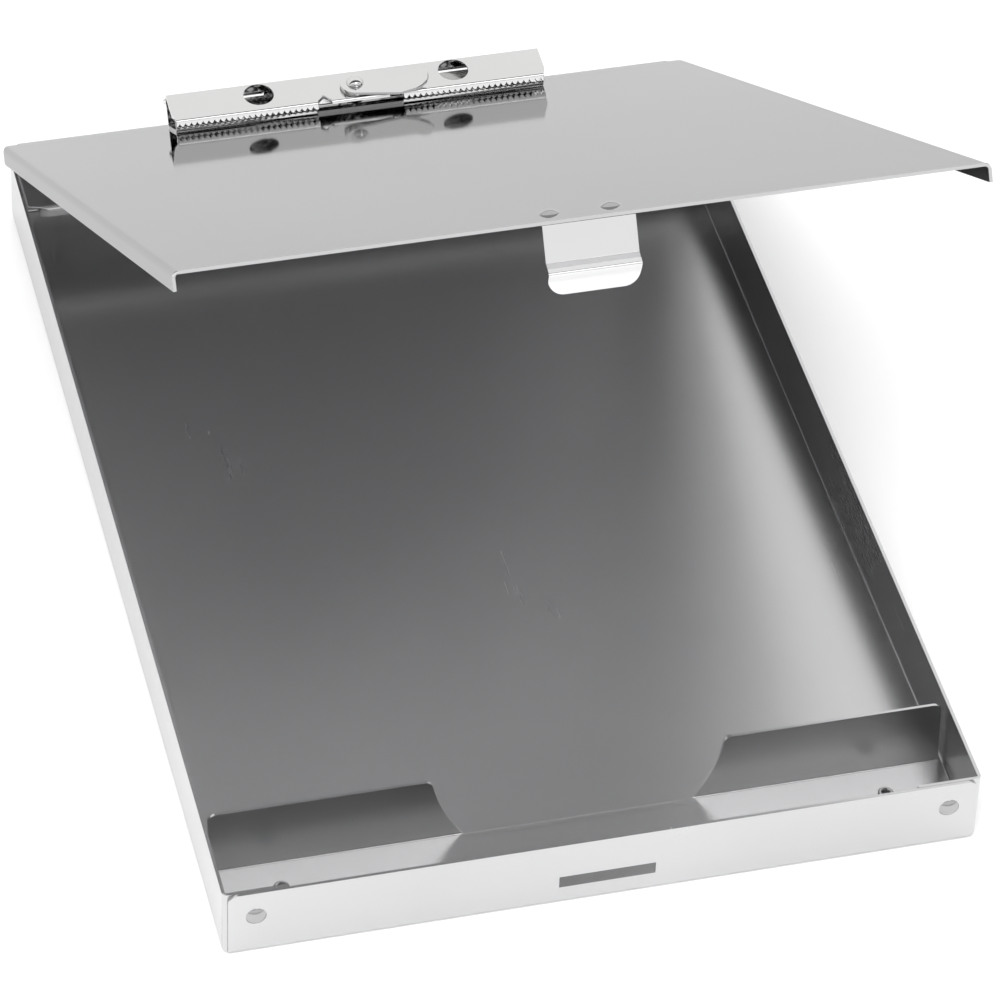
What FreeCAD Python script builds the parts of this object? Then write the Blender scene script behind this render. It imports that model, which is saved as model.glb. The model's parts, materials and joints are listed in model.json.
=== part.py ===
"""Storage clipboard: a folded aluminium tray, a hinged lid, a lever clip and a spring latch."""
import FreeCAD, Part
import Sketcher
import math
import os
import re

# Driving dimensions: name, value in mm (or degrees, or a count), meaning.
DIMENSIONS = [
    ("tray_width", 235.0, "outside width of the tray"),
    ("tray_length", 354.0, "outside length of the tray"),
    ("tray_height", 24.4, "outside height of the tray"),
    ("gauge", 1.0, "aluminium sheet thickness"),
    ("bend", 0.5, "inside radius of the tight folds"),
    ("flap_inset", 1.5, "front wall stops this far inside each side"),
    ("flap_corner", 3.3, "corner radius of the front wall"),
    ("tab_reach", 20.0, "side wall tab behind the front wall"),
    ("corner_rivet_inset", 10.0, "corner rivet from the tray side"),
    ("corner_rivet_up", 14.8, "corner rivet above the underside"),
    ("slot_width", 30.0, "latch slot width"),
    ("slot_side", 0.5, "latch slot right of the middle"),
    ("slot_low", 6.6, "latch slot bottom edge"),
    ("slot_high", 11.0, "latch slot top edge"),
    ("rail_depth", 28.5, "hinge rail plate, front to back"),
    ("rail_drop", 14.0, "hinge rail back flange"),
    ("rail_lip", 4.0, "hinge rail front lip"),
    ("retainer_width", 230.0, "form retainer width"),
    ("retainer_back", 33.5, "front face of the tray to the retainer fold"),
    ("retainer_top", 24.0, "top of the retainer above the underside"),
    ("retainer_lean", 5.0, "lean of the retainer flap, degrees"),
    ("notch_radius", 46.4, "thumb notch radius"),
    ("notch_centre", 28.7, "thumb notch centre from the fold"),
    ("retainer_rivet_span", 190.0, "spacing of the retainer rivets"),
    ("retainer_rivet_back", 22.0, "retainer rivets from the front face"),
    ("hinge_back", 2.4, "hinge axis behind the tray"),
    ("hinge_up", 1.2, "hinge axis above the tray rim"),
    ("barrel", 2.2, "hinge barrel radius"),
    ("pin", 1.1, "hinge pin radius"),
    ("pin_bore", 1.16, "hinge barrel bore radius"),
    ("leaf", 0.8, "hinge leaf thickness"),
    ("leaf_depth", 11.0, "hinge leaf from the axis forward"),
    ("knuckle", 12.7, "hinge knuckle pitch"),
    ("knuckle_pairs", 9.0, "knuckles on each leaf"),
    ("knuckle_gap", 0.2, "gap between neighbouring knuckles"),
    ("lid_angle", 32.57, "lid opening above the level position, degrees"),
    ("lid_gap", 1.5, "lid flange to tray wall"),
    ("lid_drop", 5.8, "lid flange depth"),
    ("lid_edge", 2.5, "hinge axis to the back edge of the lid"),
    ("lid_corner", 3.5, "back corner of the lid"),
    ("lid_fold", 2.0, "outside radius of the lid folds"),
    ("latch_gauge", 0.6, "latch strip thickness"),
    ("latch_width", 27.5, "latch strip width"),
    ("latch_side", 1.4, "latch strip right of the middle"),
    ("latch_back", 4.3, "latch panel behind the front edge of the tray"),
    ("latch_ridge", 2.8, "how far the latch ridge stands out"),
    ("latch_rivet_span", 18.0, "spacing of the latch rivets"),
    ("latch_rivet_back", 15.0, "latch rivets from the lid front edge"),
    ("clip_width", 129.4, "clip cover width"),
    ("clip_gauge", 0.9, "clip sheet thickness"),
    ("clip_pin", 0.8, "clip pin radius"),
    ("clip_barrel", 1.5, "clip barrel radius"),
    ("clip_pin_back", 10.3, "clip pin in front of the lid hinge axis"),
    ("clip_pin_up", 9.0, "clip pin above the lid"),
    ("clip_slope", 36.5, "slope of the cover plate, degrees"),
    ("clip_plate", 13.9, "slant width of the cover plate"),
    ("ridge_fore", 8.0, "cover back edge in front of the pin"),
    ("ridge_up", 12.6, "cover back edge above the lid"),
    ("access_radius", 5.15, "rivet access holes in the cover"),
    ("access_span", 67.6, "spacing of the access holes"),
    ("access_down", 6.35, "access holes down the cover plate"),
    ("tooth", 2.0, "tooth pitch"),
    ("tooth_count", 24.0, "teeth in each half of a jaw"),
    ("tooth_start", 15.6, "first tooth from the middle"),
    ("throat", 14.8, "half width of the gap between the toothed halves"),
    ("pivot_down", 8.3, "lever pivot down the cover plate"),
    ("pivot_side", 1.0, "lever pivot left of the middle"),
    ("bite", 1.95, "height where the toothed edges meet, above the lid"),
    ("lever_gauge", 1.0, "lever thickness"),
    ("lever_width", 10.0, "lever width"),
    ("lever_arm", 15.5, "lever from pivot to bend"),
    ("lever_tab", 10.2, "finger tab length"),
    ("lever_lift", 22.0, "finger tab bend, degrees"),
    ("lever_rest", 10.0, "lever turned from the clip's length, degrees"),
    ("washer", 0.7, "washer thickness"),
    ("coil", 1.55, "clip spring coil radius"),
    ("wire", 0.4, "clip spring wire radius"),
    ("coil_turns", 6.0, "whole turns in the clip spring"),
    ("coil_length", 7.0, "clip spring coil length"),
]
WORDS = re.compile(r"\b(" + "|".join(sorted((row[0] for row in DIMENSIONS), key=len, reverse=True)) + r")\b")

doc = FreeCAD.newDocument("clipboard")
sheet = doc.addObject("Spreadsheet::Sheet", "Dims")
for row, (alias, value, meaning) in enumerate(DIMENSIONS, start=1):
    sheet.set("A%d" % row, alias)
    sheet.set("B%d" % row, repr(value))
    sheet.set("C%d" % row, meaning)
    sheet.setAlias("B%d" % row, alias)
doc.recompute()


def bound(text):
    """An expression on the sheet from one written with bare dimension names."""
    return WORDS.sub(r"Dims.\1", text)


def number(text):
    """Present value of an expression, in mm, degrees or a count."""
    found = sheet.evalExpression(bound(text))
    return float(getattr(found, "Value", found))


def new_body(label):
    body = doc.addObject("PartDesign::Body", label)
    body.Label = label
    return body


def base(body, role):
    """One of the body's own origin planes or axes."""
    return next(item for item in body.Origin.OriginFeatures if item.Role == role)


def new_sketch(body, plane, offset="0", tilt="0"):
    """Empty sketch on an origin plane, moved along its normal and tilted about its own X axis."""
    sketch = body.newObject("Sketcher::SketchObject", "Sketch")
    sketch.AttachmentSupport = [(base(body, plane), "")]
    sketch.MapMode = "FlatFace"
    sketch.AttachmentOffset = FreeCAD.Placement(
        FreeCAD.Vector(0, 0, number(offset)), FreeCAD.Rotation(FreeCAD.Vector(1, 0, 0), number(tilt)))
    if offset != "0":
        sketch.setExpression("AttachmentOffset.Base.z", bound(offset))
    if tilt != "0":
        sketch.setExpression("AttachmentOffset.Rotation.Angle", bound(tilt))
    return sketch


def hold(sketch, kind, place, text):
    """Signed distance of one point from the sketch origin, tied to the sheet."""
    index = sketch.addConstraint(Sketcher.Constraint(kind, -1, 1, place[0], place[1], number(text)))
    sketch.setExpression("Constraints[%d]" % index, bound(text))


def place_line(sketch, start, stop):
    sketch.addGeometry(Part.LineSegment(start, stop), False)
    return 1, 2


def place_arc(sketch, start, stop, across):
    """Shorter arc between two points whose centre stands at x = across."""
    left = (start.x - across) ** 2 + start.y ** 2
    right = (stop.x - across) ** 2 + stop.y ** 2
    centre = FreeCAD.Vector(across, (left - right) / (2 * (start.y - stop.y)), 0)
    circle = Part.Circle(centre, FreeCAD.Vector(0, 0, 1), (start - centre).Length)
    here = math.atan2(start.y - centre.y, start.x - centre.x)
    there = math.atan2(stop.y - centre.y, stop.x - centre.x)
    forward = (there - here) % (2 * math.pi) <= math.pi
    low, high = (here, there) if forward else (there, here)
    sketch.addGeometry(Part.ArcOfCircle(circle, low, high), False)
    return (1, 2) if forward else (2, 1)


def add_outline(sketch, corners, arcs=None):
    """Closed outline through (x, y) expression pairs; arcs maps a side to the x of its centre."""
    arcs = arcs or {}
    first = sketch.GeometryCount
    spots = [FreeCAD.Vector(number(x), number(y), 0) for x, y in corners]
    count = len(spots)
    ends = []
    for side, start in enumerate(spots):
        stop = spots[(side + 1) % count]
        if side in arcs:
            ends.append(place_arc(sketch, start, stop, number(arcs[side])))
        else:
            ends.append(place_line(sketch, start, stop))
    for side in range(count):
        after = (side + 1) % count
        sketch.addConstraint(Sketcher.Constraint(
            "Coincident", first + side, ends[side][1], first + after, ends[after][0]))
    for side, (x, y) in enumerate(corners):
        hold(sketch, "DistanceX", (first + side, ends[side][0]), x)
        hold(sketch, "DistanceY", (first + side, ends[side][0]), y)
    for side, across in arcs.items():
        hold(sketch, "DistanceX", (first + side, 3), across)
    return sketch


def add_circle(sketch, x, y, radius):
    spot = FreeCAD.Vector(number(x), number(y), 0)
    index = sketch.addGeometry(Part.Circle(spot, FreeCAD.Vector(0, 0, 1), number(radius)), False)
    hold(sketch, "DistanceX", (index, 3), x)
    hold(sketch, "DistanceY", (index, 3), y)
    size = sketch.addConstraint(Sketcher.Constraint("Radius", index, number(radius)))
    sketch.setExpression("Constraints[%d]" % size, bound(radius))
    return sketch


def parallel_skin(skin, thick):
    """Mitred offset of an open path, to its left for a positive thickness."""
    normals = [FreeCAD.Vector(-(b - a).y, (b - a).x, 0).normalize() for a, b in zip(skin, skin[1:])]
    twin = [skin[0] + normals[0] * thick]
    for left, right, spot in zip(normals, normals[1:], skin[1:]):
        twin.append(spot + (left + right) * (thick / (1 + left.dot(right))))
    twin.append(skin[-1] + normals[-1] * thick)
    return twin


def add_strip(sketch, corners, gauge, side):
    """Section of a bent strip: a skin through the corners and a parallel skin on its left (+1) or right (-1)."""
    skin = [FreeCAD.Vector(number(x), number(y), 0) for x, y in corners]
    path = skin + parallel_skin(skin, number(gauge) * side)[::-1]
    total = len(path)
    for index, start in enumerate(path):
        place_line(sketch, start, path[(index + 1) % total])
    for index in range(total):
        sketch.addConstraint(Sketcher.Constraint("Coincident", index, 2, (index + 1) % total, 1))
    for index, (x, y) in enumerate(corners):
        hold(sketch, "DistanceX", (index, 1), x)
        hold(sketch, "DistanceY", (index, 1), y)
    for index in range(len(skin) - 1):
        twin = total - 2 - index
        sketch.addConstraint(Sketcher.Constraint("Parallel", index, twin))
        size = sketch.addConstraint(Sketcher.Constraint("Distance", twin, 1, index, number(gauge)))
        sketch.setExpression("Constraints[%d]" % size, bound(gauge))
    sketch.addConstraint(Sketcher.Constraint("Perpendicular", len(skin) - 1, len(skin) - 2))
    sketch.addConstraint(Sketcher.Constraint("Perpendicular", total - 1, 0))
    return sketch


def grow(body, sketch, length, both=False, flip=False, cut=False):
    """Pad or pocket of a sketch, one way or evenly both ways."""
    kind = "Pocket" if cut else "Pad"
    feature = body.newObject("PartDesign::" + kind, kind)
    feature.Profile = sketch
    feature.Type = "Length"
    feature.SideType = "Symmetric" if both else "One side"
    feature.Reversed = flip
    feature.Length = number(length)
    feature.setExpression("Length", bound(length))
    doc.recompute()
    return feature


def carve(body, sketch, length, both=False, flip=False):
    return grow(body, sketch, length, both, flip, cut=True)


def spin(body, sketch):
    feature = body.newObject("PartDesign::Revolution", "Revolution")
    feature.Profile = sketch
    feature.ReferenceAxis = (sketch, ["V_Axis"])
    feature.Angle = 360.0
    doc.recompute()
    return feature


def repeat(body, features, length, count):
    """Even row of features along X, its full length and count from the sheet."""
    row = body.newObject("PartDesign::LinearPattern", "LinearPattern")
    row.Originals = features
    row.Direction = (base(body, "X_Axis"), [""])
    row.Length = number(length)
    row.setExpression("Length", bound(length))
    row.Occurrences = int(round(number(count)))
    row.setExpression("Occurrences", bound(count))
    body.Tip = row
    doc.recompute()
    return row


def find_edges(shape, spots, slack):
    """Names of the edges lying at one of the spots, each a dict of fixed x, y or z expressions."""
    wanted = [{axis: number(text) for axis, text in spot.items()} for spot in spots]
    names = []
    for index, edge in enumerate(shape.Edges, start=1):
        box = edge.BoundBox
        low = {"x": box.XMin, "y": box.YMin, "z": box.ZMin}
        high = {"x": box.XMax, "y": box.YMax, "z": box.ZMax}
        for spot in wanted:
            if all(low[axis] > at - slack and high[axis] < at + slack for axis, at in spot.items()):
                names.append("Edge%d" % index)
                break
    return names


def rounding(body, spots, radius, slack=1e-4):
    """Fillet the edges found at the given spots."""
    tip = body.Tip
    feature = body.newObject("PartDesign::Fillet", "Fillet")
    feature.Base = (tip, find_edges(tip.Shape, spots, slack))
    feature.Radius = number(radius)
    feature.setExpression("Radius", bound(radius))
    doc.recompute()
    return feature


def box_corners(x0, x1, y0, y1):
    return [(x0, y0), (x1, y0), (x1, y1), (x0, y1)]


def pad_box(body, plane, spans, length, offset="0", **how):
    return grow(body, add_outline(new_sketch(body, plane, offset), box_corners(*spans)), length, **how)


def cut_box(body, plane, spans, length, offset="0", **how):
    return pad_box(body, plane, spans, length, offset, cut=True, **how)


def round_ends(body, plane, x, y, radius, inward, length, offset="0", **how):
    """Round the two outer corners at plus and minus x; inward is + or -, the way the material lies in y."""
    outward = "-" if inward == "+" else "+"
    sketch = new_sketch(body, plane, offset)
    for sign in ("-", ""):
        near = "%s(%s - %s)" % (sign, x, radius)
        far = "%s(%s + 1)" % (sign, x)
        level = "%s %s %s" % (y, inward, radius)
        beyond = "%s %s 1" % (y, outward)
        corners = [("%s(%s)" % (sign, x), level), (near, y), (near, beyond), (far, beyond), (far, level)]
        add_outline(sketch, corners, {0: near})
    return carve(body, sketch, length, **how)


def bent_strip(label, corners, gauge, side, width, bend_radius, plane="YZ_Plane"):
    """Body bent from one strip, with concentric bend radii."""
    body = new_body(label)
    grow(body, add_strip(new_sketch(body, plane), corners, gauge, side), width, both=True)
    skin = [FreeCAD.Vector(number(x), number(y), 0) for x, y in corners]
    twin = parallel_skin(skin, number(gauge) * side)
    across = "y" if plane == "YZ_Plane" else "x"
    wide = []
    tight = []
    for index in range(1, len(skin) - 1):
        turn = (skin[index] - skin[index - 1]).cross(skin[index + 1] - skin[index]).z * side
        outer, inner = (skin[index], twin[index]) if turn > 0 else (twin[index], skin[index])
        wide.append({across: repr(outer.x), "z": repr(outer.y)})
        tight.append({across: repr(inner.x), "z": repr(inner.y)})
    if wide:
        rounding(body, wide, "%s + %s" % (bend_radius, gauge))
        rounding(body, tight, bend_radius)
    return body


def turned(label, corners, arcs=None, span=None):
    """Turned fastener from a (radius, height) profile, or a pair of them a span apart along X."""
    body = new_body(label)
    sketch = add_outline(new_sketch(body, "XZ_Plane"), corners, arcs)
    if span:
        sketch.AttachmentOffset = FreeCAD.Placement(
            FreeCAD.Vector(-number(span) / 2, 0, 0), FreeCAD.Rotation())
        sketch.setExpression("AttachmentOffset.Base.x", bound("-(%s) / 2" % span))
    feature = spin(body, sketch)
    if span:
        repeat(body, [feature], span, "2")
    return body


def placed(body, shift, turns=(), swing=None):
    """Place a body at a shift with turns about its own axes, inside the lid's swing if given."""
    place = swing or FreeCAD.Placement()
    place = place.multiply(FreeCAD.Placement(
        FreeCAD.Vector(*[number(text) for text in shift]), FreeCAD.Rotation()))
    for axis, angle in turns:
        place = place.multiply(FreeCAD.Placement(
            FreeCAD.Vector(), FreeCAD.Rotation(FreeCAD.Vector(*axis), number(angle))))
    body.Placement = place
    return body


FRONT = "-tray_length / 2"
BACK = "tray_length / 2"
SIDE = "tray_width / 2"
LAP = "(-tray_length / 2 + gauge + 0.1)"
HINGE_HALF = "(knuckle * knuckle_pairs)"
LEAF_HOLE_FORE = "(leaf_depth - 3.4)"
LEAF_HOLE_SPAN = "(2 * knuckle * (knuckle_pairs - 1))"
LID_HALF = "(tray_width / 2 + lid_gap + gauge)"
LID_FRONT = "(tray_length + hinge_back)"
LATCH_FACE = "(-tray_length - hinge_back + latch_back)"
LATCH_RIVET_Y = "(-tray_length - hinge_back + latch_rivet_back)"
RIDGE_Y = "(-clip_pin_back - ridge_fore)"
RIDGE_Z = "(barrel + ridge_up)"
NOSE_Y = "(-clip_pin_back - ridge_fore - clip_plate * cos(clip_slope))"
NOSE_Z = "(barrel + ridge_up - clip_plate * sin(clip_slope))"
ACCESS_Y = "(-clip_pin_back - ridge_fore - access_down * cos(clip_slope))"
PIN_Z = "(barrel + clip_pin_up)"
BASE_HALF = "(clip_width / 2 - 1)"

SWING = FreeCAD.Placement(
    FreeCAD.Vector(0, number(BACK + " + hinge_back"), number("tray_height + hinge_up")),
    FreeCAD.Rotation(FreeCAD.Vector(1, 0, 0), -number("lid_angle")))
X_TURN = (1, 0, 0)
Z_TURN = (0, 0, 1)
BITE_Z = "(barrel + bite)"
PIVOT = ("-pivot_side", RIDGE_Y + " - pivot_down * cos(clip_slope)", RIDGE_Z + " - pivot_down * sin(clip_slope)")


def make_tray_pan():
    """Floor, side walls wrapped round the front corners, and back wall."""
    body = new_body("tray_pan")
    pad_box(body, "XY_Plane", ("-" + SIDE, SIDE, LAP, BACK), "tray_height")
    sides = [{"x": SIDE, "z": "0"}, {"x": "-" + SIDE, "z": "0"}]
    wraps = [{"x": SIDE, "y": LAP}, {"x": "-" + SIDE, "y": LAP}]
    rounding(body, sides + wraps, "gauge + bend")
    inside = "(%s - gauge)" % SIDE
    cut_box(body, "XY_Plane", ("-" + inside, inside, LAP + " + gauge", BACK + " - gauge"),
            "tray_height", "gauge", flip=True)
    wells = [{"x": inside, "z": "gauge"}, {"x": "-" + inside, "z": "gauge"},
             {"y": BACK + " - gauge", "z": "gauge"}]
    rounding(body, wells, "bend")
    mouth = "(%s - tab_reach)" % SIDE
    relief = "(%s - 3)" % SIDE
    opening = [("-" + relief, "gauge"), (relief, "gauge"), (relief, "gauge + 1.2"), (mouth, "gauge + 1.2"),
               (mouth, "tray_height + 1"), ("-" + mouth, "tray_height + 1"),
               ("-" + mouth, "gauge + 1.2"), ("-" + relief, "gauge + 1.2")]
    carve(body, add_outline(new_sketch(body, "XZ_Plane", "-" + LAP), opening), "gauge + 0.02")
    rounding(body, [{"y": BACK, "z": "0"}], "gauge + bend")
    add_front_wall(body)
    add_tray_holes(body)
    return body


def add_front_wall(body):
    """Front wall folded up from the floor, outside the two corner tabs."""
    half = "(%s - flap_inset)" % SIDE
    fold = "(%s + gauge + bend)" % FRONT
    inner = "%s + 2 * gauge + 0.5" % FRONT
    profile = [(fold, "0"), (FRONT, "gauge + bend"), (FRONT, "tray_height"), (FRONT + " + gauge", "tray_height"),
               (FRONT + " + gauge", "gauge"), (inner, "gauge"), (inner, "0")]
    grow(body, add_outline(new_sketch(body, "YZ_Plane"), profile, {0: fold}), "2 * " + half, both=True)
    tops = [{"x": half, "z": "tray_height"}, {"x": "-" + half, "z": "tray_height"}]
    rounding(body, tops, "flap_corner")


def add_tray_holes(body):
    """Latch slot, corner rivet holes and countersunk retainer rivet holes."""
    front = "tray_length / 2 + 1"
    cut_box(body, "XZ_Plane", ("slot_side - slot_width / 2", "slot_side + slot_width / 2", "slot_low", "slot_high"),
            "2 * gauge + 4", front, flip=False)
    corner = new_sketch(body, "XZ_Plane", front)
    sinks = new_sketch(body, "XY_Plane")
    bores = new_sketch(body, "XY_Plane")
    for sign in ("-", ""):
        add_circle(corner, "%s(%s - corner_rivet_inset)" % (sign, SIDE), "corner_rivet_up", "1.65")
        spot = (sign + "retainer_rivet_span / 2", FRONT + " + retainer_rivet_back")
        add_circle(sinks, spot[0], spot[1], "2.7")
        add_circle(bores, spot[0], spot[1], "1.55")
    carve(body, corner, "2 * gauge + 3")
    carve(body, sinks, "gauge / 2", flip=True)
    carve(body, bores, "gauge", flip=True)


def make_hinge_rail():
    """Channel under the back rim that carries the tray's hinge leaf."""
    wall = "(%s - gauge - 0.1)" % BACK
    nose = "(%s - rail_depth)" % BACK
    half = "(%s - gauge - 0.5)" % SIDE
    corners = [(wall, "tray_height - rail_drop"), (wall, "tray_height"), (nose, "tray_height"),
               (nose, "tray_height - rail_lip")]
    body = bent_strip("hinge_rail", corners, "gauge", 1, "2 * " + half, "bend")
    ends = new_sketch(body, "XY_Plane", "tray_height + 1")
    for sign in ("-", ""):
        inner = "%s(%s - 7)" % (sign, half)
        outer = "%s(%s + 1)" % (sign, half)
        add_outline(ends, [(outer, nose + " - 1"), (inner, nose + " - 1"), (inner, nose), (outer, nose + " + 2.2")])
    carve(body, ends, "rail_lip + 2")
    holes = new_sketch(body, "XY_Plane", "tray_height + 1")
    add_circle(holes, "-%s / 2" % LEAF_HOLE_SPAN, BACK + " + hinge_back - " + LEAF_HOLE_FORE, "1.25")
    repeat(body, [carve(body, holes, "gauge + 2")], LEAF_HOLE_SPAN, "5")
    return body


def make_form_retainer():
    """Upright form stop with a round thumb notch, on a flange riveted to the floor."""
    fold = "(%s + retainer_back)" % FRONT
    near = "(%s + 2 * gauge + 0.6)" % FRONT
    top = fold + " + (retainer_top - gauge) * tan(retainer_lean)"
    corners = [(near, "gauge"), (fold, "gauge"), (top, "retainer_top")]
    body = bent_strip("form_retainer", corners, "gauge", 1, "retainer_width", "bend")
    centre = "(2 * gauge + notch_centre)"
    flat = add_circle(new_sketch(body, "XY_Plane"), "0", fold + " + notch_centre", "notch_radius")
    carve(body, flat, "2 * gauge", flip=True)
    upright = add_circle(new_sketch(body, "XZ_Plane", "-(%s + 5)" % fold), "0", centre, "notch_radius")
    carve(body, upright, "6.2", flip=True)
    mouth = "sqrt(notch_radius ^ 2 - (%s - retainer_top) ^ 2)" % centre
    tips = [{"x": sign + spot, "z": "retainer_top"} for sign in ("-", "") for spot in (mouth, "retainer_width / 2")]
    rounding(body, tips, "2.5", slack=0.4)
    holes = new_sketch(body, "XY_Plane")
    for sign in ("-", ""):
        add_circle(holes, sign + "retainer_rivet_span / 2", FRONT + " + retainer_rivet_back", "1.55")
    carve(body, holes, "2 * gauge", flip=True)
    return body


def make_retainer_rivets():
    """Tubular rivets, flush under the floor, rolled over the retainer flange."""
    top = "2 * gauge"
    profile = [("0", "0.02"), ("2.6", "0.02"), ("2.6", "gauge / 2 - 0.03"), ("1.5", "gauge / 2 - 0.03"),
               ("1.5", top), ("2.3", top), ("2.4", top + " + 0.4"), ("2.0", top + " + 0.8"),
               ("1.5", top + " + 0.8"), ("1.1", top + " + 0.2"), ("1.1", top + " - 0.9"), ("0", top + " - 0.9")]
    body = turned("retainer_rivets", profile, span="retainer_rivet_span")
    return placed(body, ("0", FRONT + " + retainer_rivet_back", "0"))


def make_corner_rivets():
    """Low domed rivets through the front wall and the corner tabs."""
    tail = "(2 * gauge + 0.1)"
    profile = [("0", "1.3"), ("3.2", "0"), ("1.6", "0"), ("1.6", "-" + tail), ("2.4", "-" + tail),
               ("2.2", "-%s - 0.8" % tail), ("0", "-%s - 0.8" % tail)]
    body = turned("corner_rivets", profile, {0: "0"}, "tray_width - 2 * corner_rivet_inset")
    return placed(body, ("0", FRONT, "corner_rivet_up"), [(X_TURN, "90")])


def make_leaf(label, level, start):
    """Hinge leaf drawn about the hinge axis, with every other knuckle of the barrel."""
    body = new_body(label)
    edge = "-(barrel + 0.3)"
    pad_box(body, "XY_Plane", ("-" + HINGE_HALF, HINGE_HALF, "-leaf_depth", edge), "leaf", level)
    arm = add_outline(new_sketch(body, "YZ_Plane", start), box_corners(edge + " - 0.2", "-1.4", level, level + " + leaf"))
    arms = grow(body, arm, "knuckle - knuckle_gap", both=True)
    ring = add_circle(new_sketch(body, "YZ_Plane", start), "0", "0", "barrel")
    add_circle(ring, "0", "0", "pin_bore")
    rings = grow(body, ring, "knuckle - knuckle_gap", both=True)
    repeat(body, [arms, rings], "2 * knuckle * (knuckle_pairs - 1)", "knuckle_pairs")
    return body


def make_tray_leaf():
    body = make_leaf("tray_leaf", "-hinge_up", "-(%s - 1.5 * knuckle)" % HINGE_HALF)
    spot = ("-%s / 2" % LEAF_HOLE_SPAN, "-" + LEAF_HOLE_FORE)
    sink = add_circle(new_sketch(body, "XY_Plane", "-hinge_up + leaf"), spot[0], spot[1], "2.2")
    repeat(body, [carve(body, sink, "leaf / 2")], LEAF_HOLE_SPAN, "5")
    bore = add_circle(new_sketch(body, "XY_Plane", "-hinge_up + leaf"), spot[0], spot[1], "1.25")
    repeat(body, [carve(body, bore, "leaf")], LEAF_HOLE_SPAN, "5")
    return placed(body, ("0", BACK + " + hinge_back", "tray_height + hinge_up"))


def make_tray_leaf_rivets():
    """Flush rivets through the tray's hinge leaf and the rail."""
    profile = [("0", "leaf - 0.03"), ("2.12", "leaf - 0.03"), ("2.12", "leaf / 2 + 0.03"), ("1.2", "leaf / 2 + 0.03"),
               ("1.2", "-gauge"), ("2", "-gauge"), ("1.8", "-gauge - 0.7"), ("0", "-gauge - 0.7")]
    body = new_body("tray_leaf_rivets")
    sketch = add_outline(new_sketch(body, "XZ_Plane"), profile)
    sketch.AttachmentOffset = FreeCAD.Placement(
        FreeCAD.Vector(-number(LEAF_HOLE_SPAN) / 2, 0, 0), FreeCAD.Rotation())
    sketch.setExpression("AttachmentOffset.Base.x", bound("-%s / 2" % LEAF_HOLE_SPAN))
    repeat(body, [spin(body, sketch)], LEAF_HOLE_SPAN, "5")
    return placed(body, ("0", BACK + " + hinge_back - " + LEAF_HOLE_FORE, "tray_height"))


def rod(label, radius, length, shift, swing=None):
    """Plain pin along X with softened ends."""
    body = new_body(label)
    grow(body, add_circle(new_sketch(body, "YZ_Plane"), "0", "0", radius), length, both=True)
    rounding(body, [{"x": length + " / 2"}, {"x": "-%s / 2" % length}], "0.3")
    return placed(body, shift, swing=swing)


def make_lid_panel():
    """Writing panel with a folded flange down each side."""
    body = new_body("lid_panel")
    pad_box(body, "XY_Plane", ("-" + LID_HALF, LID_HALF, "-" + LID_FRONT, "-lid_edge"), "lid_drop", "barrel - lid_drop")
    rounding(body, [{"x": sign + LID_HALF, "z": "barrel"} for sign in ("-", "")], "lid_fold")
    inside = "(%s - gauge)" % LID_HALF
    cut_box(body, "XZ_Plane", ("-" + inside, inside, "barrel - lid_drop", "barrel - gauge"),
            "2 * tray_length + 20", both=True)
    rounding(body, [{"x": sign + inside, "z": "barrel - gauge"} for sign in ("-", "")], "lid_fold - gauge")
    round_ends(body, "XY_Plane", LID_HALF, "-lid_edge", "lid_corner", "-", "lid_drop + 1", "barrel + 0.5")
    holes = new_sketch(body, "XY_Plane", "barrel")
    for sign in ("-", ""):
        add_circle(holes, sign + "latch_rivet_span / 2 + latch_side", LATCH_RIVET_Y, "1.55")
        add_circle(holes, sign + "access_span / 2", ACCESS_Y, "1.55")
    carve(body, holes, "gauge")
    return placed(body, ("0", "0", "0"), swing=SWING)


def make_latch_flange():
    """Fixed end of the latch strip, riveted under the lid's front edge."""
    body = new_body("latch_flange")
    half = "latch_width / 2"
    pad_box(body, "XY_Plane", ("-" + half, half, LATCH_FACE + " + 1", LATCH_RIVET_Y + " + 5"), "latch_gauge",
            "barrel - gauge - latch_gauge")
    corners = [{"x": sign + half, "y": LATCH_RIVET_Y + " + 5"} for sign in ("-", "")]
    rounding(body, corners, "2.5")
    holes = new_sketch(body, "XY_Plane", "barrel")
    for sign in ("-", ""):
        add_circle(holes, sign + "latch_rivet_span / 2", LATCH_RIVET_Y, "1.55")
    carve(body, holes, "gauge + latch_gauge + 1")
    return placed(body, ("latch_side", "0", "0"), swing=SWING)


def make_latch_tongue():
    """Springy front of the latch strip, with the ridge that drops into the slot and a finger lip."""
    top = "barrel - gauge - 0.1"
    corners = [(LATCH_FACE + " + 0.85", top), (LATCH_FACE, top), (LATCH_FACE, "barrel - 12.6"),
               (LATCH_FACE + " - latch_ridge", "barrel - 15.6"), (LATCH_FACE, "barrel - 18.2"),
               (LATCH_FACE + " + 1.4", "barrel - 22.2")]
    body = bent_strip("latch_tongue", corners, "latch_gauge", 1, "latch_width", "0.2")
    round_ends(body, "XZ_Plane", "latch_width / 2", "barrel - 22.2", "5", "+", "2 * tray_length + 40", both=True)
    return placed(body, ("latch_side", "0", "0"), swing=SWING)


def make_latch_rivets():
    """Low domed rivets through the lid and the latch flange."""
    tail = "-(gauge + latch_gauge)"
    profile = [("0", "1.2"), ("3", "0"), ("1.5", "0"), ("1.5", tail), ("2.3", tail),
               ("2.1", tail + " - 0.6"), ("0", tail + " - 0.6")]
    body = turned("latch_rivets", profile, {0: "0"}, "latch_rivet_span")
    return placed(body, ("latch_side", LATCH_RIVET_Y, "barrel"), swing=SWING)


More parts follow.
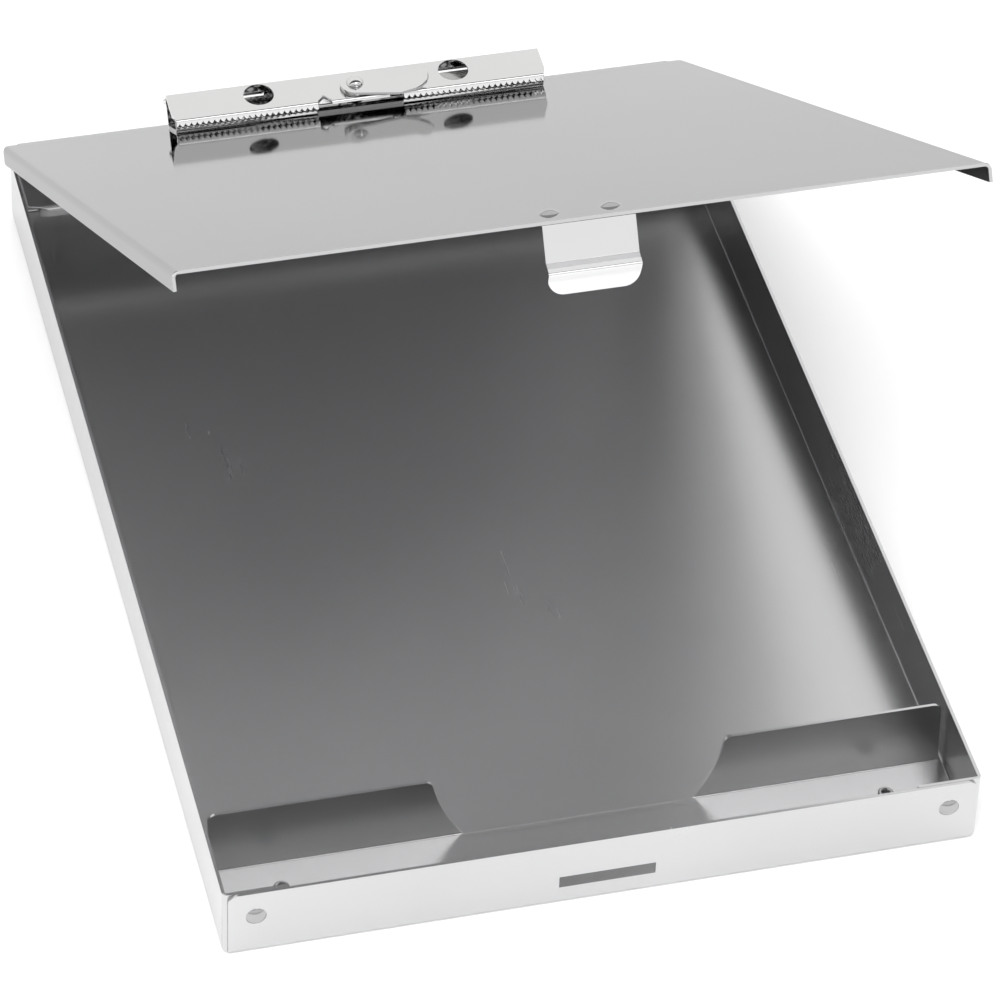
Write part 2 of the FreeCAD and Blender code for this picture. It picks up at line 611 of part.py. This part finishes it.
def add_rings(body, spans):
    """Clip hinge knuckles over the given stretches of the clip pin."""
    for start, length in spans:
        ring = add_circle(new_sketch(body, "YZ_Plane", start), "-clip_pin_back", PIN_Z, "clip_barrel")
        add_circle(ring, "-clip_pin_back", PIN_Z, "clip_pin + 0.06")
        grow(body, ring, length)


def cut_teeth(body, corners):
    """Sawtooth row in each half of a jaw; corners are written from the first tooth's left side."""
    face = "-(%s) + 3" % NOSE_Y
    for start in ("tooth_start", "-(tooth_start + tooth * tooth_count)"):
        row = [("%s + %s" % (start, x), y) for x, y in corners]
        first = carve(body, add_outline(new_sketch(body, "XZ_Plane", face), row), "8")
        repeat(body, [first], "tooth * (tooth_count - 1)", "tooth_count")


def make_clip_base():
    """Lower jaw: riveted floor, back upstand with knuckles, and a rolled toothed lip."""
    back = "(-clip_pin_back - 0.4)"
    corners = [(back, PIN_Z + " - 0.9"), (back, "barrel"), (NOSE_Y + " + 2.4", "barrel"),
               (NOSE_Y + " + 0.3", "barrel + bite + 0.6")]
    body = bent_strip("clip_base", corners, "clip_gauge", -1, "2 * " + BASE_HALF, "0.8")
    fore = NOSE_Y + " + 3.2"
    cut_box(body, "XY_Plane", ("-throat", "throat", NOSE_Y + " - 3", fore), "10", "barrel + 8")
    for span in (("-(clip_width / 2 - 14.4)", "-30"), ("30", "clip_width / 2 - 14.4")):
        cut_box(body, "XZ_Plane", (span[0], span[1], PIN_Z + " - 1.9", PIN_Z + " + 1"), "6", "clip_pin_back - 2", flip=True)
    cut_box(body, "XZ_Plane", ("-16.5", "16.5", PIN_Z + " - 2.9", PIN_Z + " + 1"), "6", "clip_pin_back - 2", flip=True)
    add_rings(body, [("-" + BASE_HALF, "13.3"), ("-29.8", "13.2"), ("16.6", "13.2"), (BASE_HALF + " - 13.3", "13.3")])
    cut_teeth(body, [("1.05", BITE_Z + " + 0.2"), ("1.45", BITE_Z + " - 0.7"), ("2.2", BITE_Z + " + 0.2")])
    cut_box(body, "XZ_Plane", ("-(%s + 1)" % BASE_HALF, BASE_HALF + " + 1", BITE_Z + " - 0.05", BITE_Z + " + 1.7"),
            "8", "-(%s) + 3" % NOSE_Y)
    holes = new_sketch(body, "XY_Plane", "barrel + 2")
    for sign in ("-", ""):
        add_circle(holes, sign + "access_span / 2", ACCESS_Y, "1.55")
    carve(body, holes, "3")
    return placed(body, ("0", "0", "0"), swing=SWING)


def make_clip_base_rivets():
    """Domed rivets that hold the clip to the lid, under the access holes."""
    tail = "-(gauge + clip_gauge)"
    profile = [("0", "1.2"), ("2.8", "0"), ("1.5", "0"), ("1.5", tail), ("2.3", tail),
               ("2.1", tail + " - 0.5"), ("0", tail + " - 0.5")]
    body = turned("clip_base_rivets", profile, {0: "0"}, "access_span")
    return placed(body, ("0", ACCESS_Y, "barrel + clip_gauge"), swing=SWING)


def make_clip_cover():
    """Upper jaw: sloped cover plate with a toothed front flange and hinge knuckles behind."""
    shelf = PIN_Z + " + 0.7"
    corners = [("-clip_pin_back - 1.95", shelf), (RIDGE_Y + " + 1.5", shelf), (RIDGE_Y, RIDGE_Z),
               (NOSE_Y, NOSE_Z), (NOSE_Y + " + 0.2", BITE_Z)]
    body = bent_strip("clip_cover", corners, "clip_gauge", 1, "clip_width", "0.3")
    reach = "(clip_width / 2 - 14.8)"
    for start in ("-" + reach, "30.2"):
        arm = box_corners("-clip_pin_back - 2.2", "-clip_pin_back - 1.1", shelf + " - clip_gauge", shelf)
        grow(body, add_outline(new_sketch(body, "YZ_Plane", start), arm), reach + " - 30.2")
    add_rings(body, [("-" + reach, reach + " - 30.2"), ("30.2", reach + " - 30.2")])
    cut_box(body, "XY_Plane", ("-11", "11", "-clip_pin_back - 4.2", "-clip_pin_back + 3"), "6", PIN_Z + " + 4")
    shape_cover_front(body)
    add_cover_holes(body)
    return placed(body, ("0", "0", "0"), swing=SWING)


def shape_cover_front(body):
    """Teeth, the middle tongue between two notches, and trimmed front corners."""
    cut_teeth(body, [("0", BITE_Z + " - 0.3"), ("1.4", BITE_Z + " - 0.3"), ("1.05", BITE_Z + " + 1.05")])
    cut_box(body, "XZ_Plane", ("-throat", "throat", BITE_Z + " - 1.3", NOSE_Z + " - 1.2"), "8",
            "-(%s) + 3" % NOSE_Y)
    trims = new_sketch(body, "XY_Plane", "barrel + 9")
    half = "clip_width / 2"
    for sign in ("-", ""):
        notch = [(sign + "(throat - 4.8)", NOSE_Y + " - 2"), (sign + "throat", NOSE_Y + " - 2"),
                 (sign + "throat", NOSE_Y + " + 0.6"), (sign + "(throat - 2.4)", NOSE_Y + " + 2.6"),
                 (sign + "(throat - 4.8)", NOSE_Y + " + 0.4")]
        add_outline(trims, notch)
        corner = [(sign + "(%s + 1)" % half, NOSE_Y + " - 2"), (sign + "(%s - 2)" % half, NOSE_Y + " - 2"),
                  (sign + "(%s - 1.1)" % half, NOSE_Y), (sign + half, NOSE_Y + " + 2.7"),
                  (sign + "(%s + 1)" % half, NOSE_Y + " + 2.7")]
        add_outline(trims, corner)
    carve(body, trims, "10")


def add_cover_holes(body):
    """Rivet access holes and the lever pivot hole, square to the sloped plate."""
    face = new_sketch(body, "XY_Plane", "0", "clip_slope")
    drop = FreeCAD.Vector(0, number(RIDGE_Y), number(RIDGE_Z))
    tilt = face.AttachmentOffset.Rotation
    face.AttachmentOffset = FreeCAD.Placement(drop + tilt.multVec(FreeCAD.Vector(0, 0, 1)), tilt)
    face.setExpression("AttachmentOffset.Base.y", bound(RIDGE_Y + " - sin(clip_slope)"))
    face.setExpression("AttachmentOffset.Base.z", bound(RIDGE_Z + " + cos(clip_slope)"))
    for sign in ("-", ""):
        add_circle(face, sign + "access_span / 2", "-access_down", "access_radius")
    add_circle(face, "-pivot_side", "-pivot_down", "1.57")
    carve(body, face, "clip_gauge + 1.2")


def make_clip_spring():
    """Torsion spring round the clip pin, one leg on the base and one under the cover."""
    body = new_body("clip_spring")
    start = "-coil_length / 2"
    wire = add_circle(new_sketch(body, "XY_Plane"), start, "-coil", "wire")
    coil = body.newObject("PartDesign::AdditiveHelix", "AdditiveHelix")
    coil.Profile = wire
    coil.ReferenceAxis = (base(body, "X_Axis"), [""])
    coil.Mode = "height-turns-angle"
    coil.Height = number("coil_length")
    coil.setExpression("Height", bound("coil_length"))
    coil.Turns = number("coil_turns + 166 / 360")
    coil.setExpression("Turns", bound("coil_turns + 166 / 360"))
    coil.Angle = 0.0
    doc.recompute()
    low = add_circle(new_sketch(body, "XY_Plane"), start, "-coil", "wire")
    grow(body, low, "15")
    high = add_circle(new_sketch(body, "XY_Plane", "0", "-14"), "-(%s)" % start, "coil", "wire")
    grow(body, high, "3.4")
    return placed(body, ("0", "-clip_pin_back", PIN_Z), [(X_TURN, "110")], SWING)


def make_lever_washer():
    body = new_body("lever_washer")
    disc = add_circle(new_sketch(body, "XY_Plane"), "0", "0", "lever_width / 2 - 0.3")
    add_circle(disc, "0", "0", "1.65")
    grow(body, disc, "washer - 0.05")
    return placed(body, PIVOT, [(X_TURN, "clip_slope")], SWING)


def make_clip_lever():
    """Flat lever with a full round pivot end and a finger tab bent up at the tip."""
    tip = ("(lever_arm + lever_tab * cos(lever_lift))", "washer + lever_tab * sin(lever_lift)")
    corners = [("-lever_width / 2", "washer"), ("lever_arm", "washer"), tip]
    body = bent_strip("clip_lever", corners, "lever_gauge", 1, "lever_width", "1", "XZ_Plane")
    sides = ["-lever_width / 2", "lever_width / 2"]
    rounding(body, [{"x": "-lever_width / 2", "y": side} for side in sides], "lever_width / 2 - 0.05")
    middle = tip[0] + " - lever_gauge * sin(lever_lift) / 2"
    rounding(body, [{"x": middle, "y": side} for side in sides], "lever_width / 2 - 0.3", slack=0.4)
    carve(body, add_circle(new_sketch(body, "XY_Plane", "washer + lever_gauge"), "0", "0", "1.55"), "lever_gauge")
    return placed(body, PIVOT, [(X_TURN, "clip_slope"), (Z_TURN, "-lever_rest")], SWING)


def make_lever_rivet():
    """Domed pivot rivet that turns with the lever."""
    seat = "washer + lever_gauge"
    profile = [("0", seat + " + 2.3"), ("3", seat), ("1.5", seat), ("1.5", "-4.4"), ("0", "-4.4")]
    body = turned("lever_rivet", profile, {0: "0"})
    return placed(body, PIVOT, [(X_TURN, "clip_slope"), (Z_TURN, "-lever_rest")], SWING)


def make_lever_cam():
    """Face cam on the pivot, under the cover plate."""
    body = new_body("lever_cam")
    disc = add_circle(new_sketch(body, "XY_Plane", "-clip_gauge - 0.1"), "0", "0", "4")
    add_circle(disc, "0", "0", "1.53")
    grow(body, disc, "3.3", flip=True)
    wedge = [("-5", "-clip_gauge - 3.6"), ("5", "-clip_gauge - 3.6"), ("5", "-clip_gauge - 1.6")]
    carve(body, add_outline(new_sketch(body, "YZ_Plane"), wedge), "12", both=True)
    return placed(body, PIVOT, [(X_TURN, "clip_slope"), (Z_TURN, "-lever_rest")], SWING)


def make_lid_leaf():
    body = make_leaf("lid_leaf", "(barrel - gauge - leaf)", "-(%s - knuckle / 2)" % HINGE_HALF)
    return placed(body, ("0", "0", "0"), swing=SWING)


def build_all():
    hinge_spot = ("0", BACK + " + hinge_back", "tray_height + hinge_up")
    return [
        make_tray_pan(), make_hinge_rail(), make_form_retainer(), make_retainer_rivets(), make_corner_rivets(),
        make_tray_leaf(), make_tray_leaf_rivets(), rod("hinge_pin", "pin", "(2 * %s + 0.8)" % HINGE_HALF, hinge_spot),
        make_lid_panel(), make_lid_leaf(), make_latch_flange(), make_latch_tongue(), make_latch_rivets(),
        make_clip_base(), make_clip_base_rivets(),
        rod("clip_pin", "clip_pin", "(clip_width - 0.6)", ("0", "-clip_pin_back", PIN_Z), SWING),
        make_clip_spring(), make_clip_cover(), make_lever_washer(), make_clip_lever(), make_lever_rivet(),
        make_lever_cam(),
    ]


def check_document():
    for item in doc.Objects:
        if {"Invalid", "Error"} & set(item.State):
            raise RuntimeError("%s: %s" % (item.Name, item.State))


def export(bodies):
    os.makedirs("parts", exist_ok=True)
    for body in bodies:
        if body.Shape.isNull() or not body.Shape.isValid():
            raise RuntimeError("bad shape: " + body.Label)
        body.Shape.exportStep("parts/%s.step" % body.Label)
        print(body.Label, len(body.Shape.Solids), round(body.Shape.Volume, 2))


pieces = build_all()
doc.recompute()
check_document()
export(pieces)
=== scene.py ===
"""Storage clipboard: finishes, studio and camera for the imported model."""
import bpy
import json
import math
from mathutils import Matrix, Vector


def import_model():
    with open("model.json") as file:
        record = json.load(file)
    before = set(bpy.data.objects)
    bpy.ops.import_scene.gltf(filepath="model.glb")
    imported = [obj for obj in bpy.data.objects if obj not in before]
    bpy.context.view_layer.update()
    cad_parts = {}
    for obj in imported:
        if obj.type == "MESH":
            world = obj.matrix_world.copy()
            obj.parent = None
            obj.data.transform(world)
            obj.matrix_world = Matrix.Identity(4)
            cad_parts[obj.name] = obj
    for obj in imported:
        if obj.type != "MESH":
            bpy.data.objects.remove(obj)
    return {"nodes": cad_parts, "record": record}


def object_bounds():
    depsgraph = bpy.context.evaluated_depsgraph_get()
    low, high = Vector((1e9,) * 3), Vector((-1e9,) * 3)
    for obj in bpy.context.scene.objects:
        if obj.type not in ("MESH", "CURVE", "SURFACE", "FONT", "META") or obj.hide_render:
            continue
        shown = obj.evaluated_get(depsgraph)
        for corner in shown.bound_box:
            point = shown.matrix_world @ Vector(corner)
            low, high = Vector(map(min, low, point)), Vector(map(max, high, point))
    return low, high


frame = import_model()
CAD_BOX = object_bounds()
NODES = frame["nodes"]
SLOT = {part["node"]: part["material_slot"] for part in frame["record"]["subparts"]}

LID_TILT = math.radians(32.57)  # the lid's slope at rest, which its grain follows
GRAIN_ALONG = (1500.0, 22.0, 1500.0)  # rolling lines that run from front to back
GRAIN_ACROSS = (22.0, 1500.0, 1500.0)  # rolling lines that run from side to side
GRAIN_NONE = (300.0, 300.0, 300.0)
GRAIN_DARKEST = 0.99
CLOUD_SCALE = 11.0
CLOUD_DEPTH = 0.05
TOOTH_SCALE = 1400.0
TOOTH_HEIGHT = 0.00001
NOISE_LOW, NOISE_HIGH = 0.3, 0.7  # the stretch of a noise that the ramps use

EDGE_ROUNDING = 0.00018
EDGE_ANGLE = math.radians(35)
EDGE_SEGMENTS = 2
WELD_DISTANCE = 0.000002
FACE_WEIGHT = 90
NOT_ROUNDED = ("clip_spring",)  # round wire, left as it is

PAPER_REACH = 9.0  # half the side of the paper floor
PAPER_GAP = 0.0002
PAPER_TONE = (0.9, 0.9, 0.9, 1.0)
MIDDLE = (0, 0, 0)


# ---------------------------------------------------------------- shader nodes
def new_material(name):
    mat = bpy.data.materials.new(name)
    mat.use_nodes = True
    tree = mat.node_tree
    tree.nodes.clear()
    return mat, tree


def link(tree, source, target):
    tree.links.new(source, target)


def node(tree, kind, **values):
    made = tree.nodes.new(kind)
    for key, value in values.items():
        setattr(made, key, value)
    return made


def ramp(tree, source, low, high, out_low, out_high):
    """Map a value linearly, clamped."""
    made = node(tree, "ShaderNodeMapRange", clamp=True)
    for index, value in enumerate((low, high, out_low, out_high), start=1):
        made.inputs[index].default_value = value
    link(tree, source, made.inputs[0])
    return made.outputs[0]


def combine(tree, operation, first, second):
    """One math node fed by two values."""
    made = node(tree, "ShaderNodeMath", operation=operation)
    link(tree, first, made.inputs[0])
    link(tree, second, made.inputs[1])
    return made.outputs[0]


def noise(tree, vector, scale, detail=3.0, rough=0.5):
    made = node(tree, "ShaderNodeTexNoise")
    made.inputs["Scale"].default_value = scale
    made.inputs["Detail"].default_value = detail
    made.inputs["Roughness"].default_value = rough
    link(tree, vector, made.inputs["Vector"])
    return made.outputs["Fac"]


def stretched(tree, source, scale, tilt):
    """Object coordinates, turned about X and then stretched, for a directional grain."""
    turn = node(tree, "ShaderNodeVectorRotate", rotation_type="X_AXIS")
    turn.inputs["Angle"].default_value = tilt
    link(tree, source, turn.inputs["Vector"])
    made = node(tree, "ShaderNodeVectorMath", operation="MULTIPLY")
    made.inputs[1].default_value = scale
    link(tree, turn.outputs[0], made.inputs[0])
    return made.outputs[0]


# ---------------------------------------------------------------- finishes
def metal_tone(tree, tone, grain, cloud):
    """The base colour, a little darker in the clouds and along the grain."""
    clouded = ramp(tree, cloud, NOISE_LOW, NOISE_HIGH, 1.0 - CLOUD_DEPTH, 1.0)
    lined = ramp(tree, grain, NOISE_LOW, NOISE_HIGH, GRAIN_DARKEST, 1.0)
    tint = node(tree, "ShaderNodeMix", data_type="RGBA")
    tint.inputs[6].default_value = (0.0, 0.0, 0.0, 1.0)
    tint.inputs[7].default_value = (*tone, 1.0)
    link(tree, combine(tree, "MULTIPLY", clouded, lined), tint.inputs[0])
    return tint.outputs[2]


def metal_roughness(tree, rough, spread, grain, cloud):
    """Roughness that wanders mostly with the clouds and slightly with the grain."""
    by_grain = spread * 0.2
    by_cloud = spread * 0.6
    lined = ramp(tree, grain, NOISE_LOW, NOISE_HIGH, -by_grain, by_grain)
    clouded = ramp(tree, cloud, NOISE_LOW, NOISE_HIGH, rough - by_cloud, rough + by_cloud)
    return combine(tree, "ADD", lined, clouded)


def metal_tooth(tree, place, strength):
    """A normal with a very fine tooth."""
    bumpy = node(tree, "ShaderNodeBump")
    bumpy.inputs["Strength"].default_value = strength
    bumpy.inputs["Distance"].default_value = TOOTH_HEIGHT
    link(tree, noise(tree, place, TOOTH_SCALE, detail=1.0), bumpy.inputs["Height"])
    return bumpy.outputs[0]


def sheet_metal(name, tone, rough, spread, scale=GRAIN_NONE, tilt=0.0, grazing_shade_tint=1.0, tooth=0.025):
    """Bare metal with rolled grain, soft clouding and a fine tooth."""
    mat, tree = new_material(name)
    out = node(tree, "ShaderNodeOutputMaterial")
    shader = node(tree, "ShaderNodeBsdfPrincipled")
    shader.inputs["Metallic"].default_value = 1.0
    # Below 1 this tint dims the grazing reflection; on the lid it is painted shade for the shaded floor
    # it mirrors.
    shader.inputs["Specular Tint"].default_value = (grazing_shade_tint, grazing_shade_tint, grazing_shade_tint, 1.0)
    place = node(tree, "ShaderNodeTexCoord").outputs["Object"]
    grain = noise(tree, stretched(tree, place, scale, tilt), 1.0, rough=0.55)
    cloud = noise(tree, place, CLOUD_SCALE)
    link(tree, metal_tone(tree, tone, grain, cloud), shader.inputs["Base Color"])
    link(tree, metal_roughness(tree, rough, spread, grain, cloud), shader.inputs["Roughness"])
    link(tree, metal_tooth(tree, place, tooth), shader.inputs["Normal"])
    link(tree, shader.outputs[0], out.inputs["Surface"])
    return mat


MATERIALS = {
    "aluminium": sheet_metal(
        "tray_aluminium", (0.6, 0.6, 0.605), rough=0.27, spread=0.006, scale=GRAIN_ALONG, tooth=0.01),
    # The lid's tint of 0.55 is painted shade: it dims the grazing reflection in place of the shaded floor
    # behind the tray.
    "lid_aluminium": sheet_metal(
        "lid_aluminium", (0.6, 0.6, 0.605), rough=0.055, spread=0.01, scale=GRAIN_ALONG,
        tilt=LID_TILT, grazing_shade_tint=0.55, tooth=0.004),
    # The rivets' dark tone is partly their own and partly painted shade for the dark rim along their
    # lower edge.
    "rivets": sheet_metal(
        "rivet_aluminium", (0.42, 0.42, 0.425), rough=0.2, spread=0.05),
    "hinge": sheet_metal(
        "hinge_aluminium", (0.55, 0.55, 0.555), rough=0.26, spread=0.05, scale=GRAIN_ACROSS),
    "hinge_pin": sheet_metal(
        "pin_steel", (0.4, 0.4, 0.405), rough=0.25, spread=0.05, scale=GRAIN_ACROSS),
    "spring_steel": sheet_metal(
        "latch_steel", (0.7, 0.7, 0.705), rough=0.06, spread=0.015, scale=GRAIN_ACROSS,
        tilt=LID_TILT, tooth=0.008),
    "nickel_plate": sheet_metal(
        "nickel_plate", (0.66, 0.66, 0.655), rough=0.08, spread=0.015, scale=GRAIN_ACROSS,
        tilt=LID_TILT, tooth=0.01),
    "spring_wire": sheet_metal(
        "spring_wire", (0.25, 0.25, 0.255), rough=0.3, spread=0.05),
}


# ---------------------------------------------------------------- pieces
def round_edges(piece):
    """Round the cut edges finely and keep the flat faces' shading flat."""
    weld = piece.modifiers.new("weld", "WELD")
    weld.merge_threshold = WELD_DISTANCE
    bevel = piece.modifiers.new("bevel", "BEVEL")
    bevel.width = EDGE_ROUNDING
    bevel.segments = EDGE_SEGMENTS
    bevel.limit_method = "ANGLE"
    bevel.angle_limit = EDGE_ANGLE
    bevel.use_clamp_overlap = True
    crease = piece.modifiers.new("crease", "WEIGHTED_NORMAL")
    crease.weight = FACE_WEIGHT
    crease.keep_sharp = False


def dress(name, piece):
    """Give a CAD node its slot's material, smooth shading and finely rounded edges."""
    mesh = piece.data
    mesh.materials.clear()
    mesh.materials.append(MATERIALS[SLOT[name]])
    for face in mesh.polygons:
        face.use_smooth = True
    if name not in NOT_ROUNDED:
        round_edges(piece)


# ---------------------------------------------------------------- studio
def paper_floor(low):
    """Plain pale paper, just under the tray."""
    reach = PAPER_REACH
    corners = [(-reach, -reach, low), (reach, -reach, low), (reach, reach, low), (-reach, reach, low)]
    mesh = bpy.data.meshes.new("floor")
    mesh.from_pydata(corners, [], [(0, 1, 2, 3)])
    floor = bpy.data.objects.new("floor", mesh)
    bpy.context.scene.collection.objects.link(floor)
    mat, tree = new_material("floor_paper")
    out = node(tree, "ShaderNodeOutputMaterial")
    shader = node(tree, "ShaderNodeBsdfDiffuse")
    shader.inputs["Color"].default_value = PAPER_TONE
    link(tree, shader.outputs[0], out.inputs["Surface"])
    mesh.materials.append(mat)


def area(name, place, aim, size, power, mirrored):
    """A rectangular light; one that isn't mirrored lights the matt paper but not the bare metal."""
    data = bpy.data.lights.new(name, "AREA")
    data.shape = "RECTANGLE"
    data.size, data.size_y = size
    data.energy = power
    light = bpy.data.objects.new(name, data)
    light.location = place
    light.rotation_euler = (Vector(aim) - Vector(place)).to_track_quat("-Z", "Y").to_euler()
    light.visible_glossy = mirrored
    bpy.context.scene.collection.objects.link(light)


def world(bands):
    """Surroundings in bands of (degrees, brightness), from the front horizon over the top to the back."""
    made = bpy.data.worlds.new("studio")
    made.use_nodes = True
    tree = made.node_tree
    back = tree.nodes["Background"]
    split = node(tree, "ShaderNodeSeparateXYZ")
    link(tree, node(tree, "ShaderNodeTexCoord").outputs["Generated"], split.inputs[0])
    forward = node(tree, "ShaderNodeMath", operation="MULTIPLY")
    forward.inputs[1].default_value = -1.0
    link(tree, split.outputs[1], forward.inputs[0])
    angle = combine(tree, "ARCTAN2", split.outputs[2], forward.outputs[0])
    band = node(tree, "ShaderNodeValToRGB")
    link(tree, ramp(tree, angle, 0.0, math.pi, 0.0, 1.0), band.inputs[0])
    stops = band.color_ramp.elements
    while len(stops) < len(bands):
        stops.new(0.5)
    for stop, (degrees, level) in zip(stops, bands):
        stop.position = degrees / 180.0
        stop.color = (level, level, level, 1.0)
    link(tree, band.outputs[0], back.inputs[0])
    back.inputs[1].default_value = 1.0
    bpy.context.scene.world = made


def camera(place, turn, lens):
    data = bpy.data.cameras.new("camera")
    data.sensor_width = 36.0
    data.lens = lens
    data.clip_end = 100.0
    made = bpy.data.objects.new("camera", data)
    made.location = place
    made.rotation_euler = turn
    bpy.context.scene.collection.objects.link(made)
    bpy.context.scene.camera = made


# ---------------------------------------------------------------- scene
for name, piece in NODES.items():
    dress(name, piece)

paper_floor(CAD_BOX[0][2] - PAPER_GAP)
world([(0, 0.1), (4, 0.15), (9, 1.12), (26, 1.12), (30, 1.4), (37, 1.4), (40, 0.06), (44, 0.06),
       (47, 1.3), (62, 1.3), (66, 0.06), (88, 0.06), (94, 1.12), (168, 1.12), (176, 0.6)])
area("fill", (-0.55, -1.0, 2.5), aim=MIDDLE, size=(1.6, 1.6), power=44.0, mirrored=False)
area("near", (-0.15, -0.62, 0.5), aim=(0.0, -0.17, 0.01), size=(0.7, 0.3), power=1.6, mirrored=False)
area("front", (0.75, -1.75, 2.6), aim=MIDDLE, size=(1.2, 1.2), power=8.0, mirrored=True)
camera((-0.3528, -1.3183, 1.2469), turn=(0.831691, -0.030631, -0.241308), lens=205.4)
bpy.context.scene.view_settings.view_transform = "Standard"
bpy.context.scene.view_settings.look = "None"
